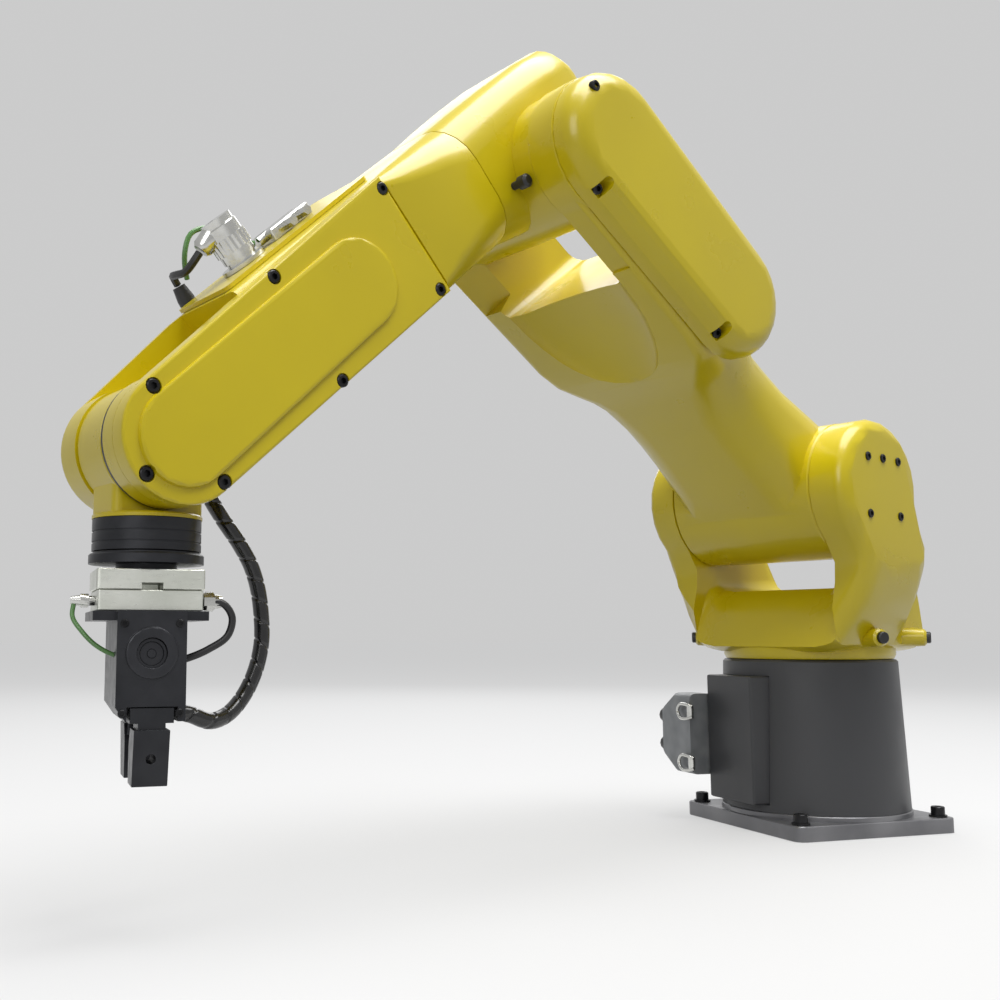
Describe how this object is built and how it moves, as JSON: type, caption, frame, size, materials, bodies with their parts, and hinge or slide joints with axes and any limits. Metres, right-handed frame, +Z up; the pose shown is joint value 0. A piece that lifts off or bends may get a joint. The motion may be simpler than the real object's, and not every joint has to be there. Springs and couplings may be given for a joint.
{
  "type": "six-axis industrial robot arm",
  "caption": "Compact articulated robot arm on a round pedestal with a bolted square base, a forked upper arm, a rolling forearm, a nodding wrist and a parallel two-finger gripper.",
  "frame": {"origin": "centre of the base plate's underside, on the waist axis", "axes": "+Z up; +X towards the front of the base, away from the connector box; the arm rests turned towards -X"},
  "size_m": [0.8621, 0.4155, 0.6862],
  "materials": {
    "yellow_paint": "smooth gloss",
    "dark_grey_paint": "satin",
    "grey_plate": "satin",
    "black_steel": "blackened",
    "black_plastic": "matte",
    "spiral_wrap": "gloss",
    "black_anodised": "anodised",
    "cast_grey": "cast",
    "bright_steel": "polished",
    "machined_aluminium": "machined",
    "green_tube": "gloss"
  },
  "bodies": {
    "base": {"base_plate": "grey_plate", "mounting_bolt_1": "black_steel", "mounting_bolt_2": "black_steel", "mounting_bolt_3": "black_steel", "mounting_bolt_4": "black_steel", "pedestal": "dark_grey_paint", "connector_box": "dark_grey_paint", "connector_hood": "cast_grey", "cable_gland_lower": "black_plastic", "cable_gland_upper": "black_plastic"},
    "turret": {"turret_casting": "yellow_paint"},
    "upper_arm": {"upper_arm_casting": "yellow_paint", "near_arm_cover": "yellow_paint", "far_arm_cover": "yellow_paint"},
    "elbow": {"elbow_casing": "yellow_paint", "elbow_rear_cover": "yellow_paint", "elbow_stop_knob": "black_plastic"},
    "forearm": {"forearm_casting": "yellow_paint", "forearm_near_cover": "yellow_paint", "wrist_seal_ring": "black_plastic", "service_plate": "yellow_paint", "round_plug": "bright_steel", "air_manifold": "bright_steel", "hose_boot": "black_plastic", "plug_cable": "black_plastic", "air_tube": "green_tube", "spiral_hose": "spiral_wrap"},
    "wrist": {"wrist_housing": "yellow_paint", "wrist_ring_stack": "black_anodised"},
    "tool": {"tool_flange": "black_anodised", "adapter_plate_upper": "machined_aluminium", "adapter_plate_lower": "machined_aluminium", "gripper_body": "black_anodised", "left_air_fitting": "bright_steel", "right_air_fitting": "bright_steel"},
    "jaw_near": {"finger_near": "black_anodised"},
    "jaw_far": {"finger_far": "black_anodised"}
  },
  "joints": [
    {"name": "waist_turn", "type": "hinge", "parent": "base", "child": "turret", "pos_m": [0, 0, 0.2], "axis": [0, 0, -1], "range_deg": [-331.3, 8.7]},
    {"name": "shoulder_swing", "type": "hinge", "parent": "turret", "child": "upper_arm", "pos_m": [-0.04736, -0.01603, 0.33], "axis": [0.3206, -0.9472, 0], "range_deg": [-156.2, 88.8]},
    {"name": "elbow_bend", "type": "hinge", "parent": "upper_arm", "child": "elbow", "pos_m": [-0.39369, -0.13326, 0.57477], "axis": [-0.3206, 0.9472, 0], "range_deg": [-66, 100]},
    {"name": "forearm_roll", "type": "hinge", "parent": "elbow", "child": "forearm", "pos_m": [-0.41626, -0.1409, 0.60041], "axis": [-0.6939, -0.2349, -0.6807], "range_deg": [-190, 190]},
    {"name": "wrist_nod", "type": "hinge", "parent": "forearm", "child": "wrist", "pos_m": [-0.70769, -0.23954, 0.31451], "axis": [-0.3206, 0.9472, 0], "range_deg": [-72.9, 167.1], "deforming": ["spiral_hose"]},
    {"name": "tool_turn", "type": "hinge", "parent": "wrist", "child": "tool", "pos_m": [-0.70769, -0.23954, 0.23451], "axis": [0, 0, -1], "range_deg": [-360, 360], "deforming": ["spiral_hose"]},
    {"name": "near_jaw_slide", "type": "slide", "parent": "tool", "child": "jaw_near", "axis": [0, -1, 0], "range_m": [-0.01, 0.004]},
    {"name": "far_jaw_slide", "type": "slide", "parent": "tool", "child": "jaw_far", "axis": [0, 1, 0], "range_m": [-0.01, 0.004]}
  ],
  "couplings": [
    {"joint": "far_jaw_slide", "follows": "near_jaw_slide", "ratio": 1}
  ]
}
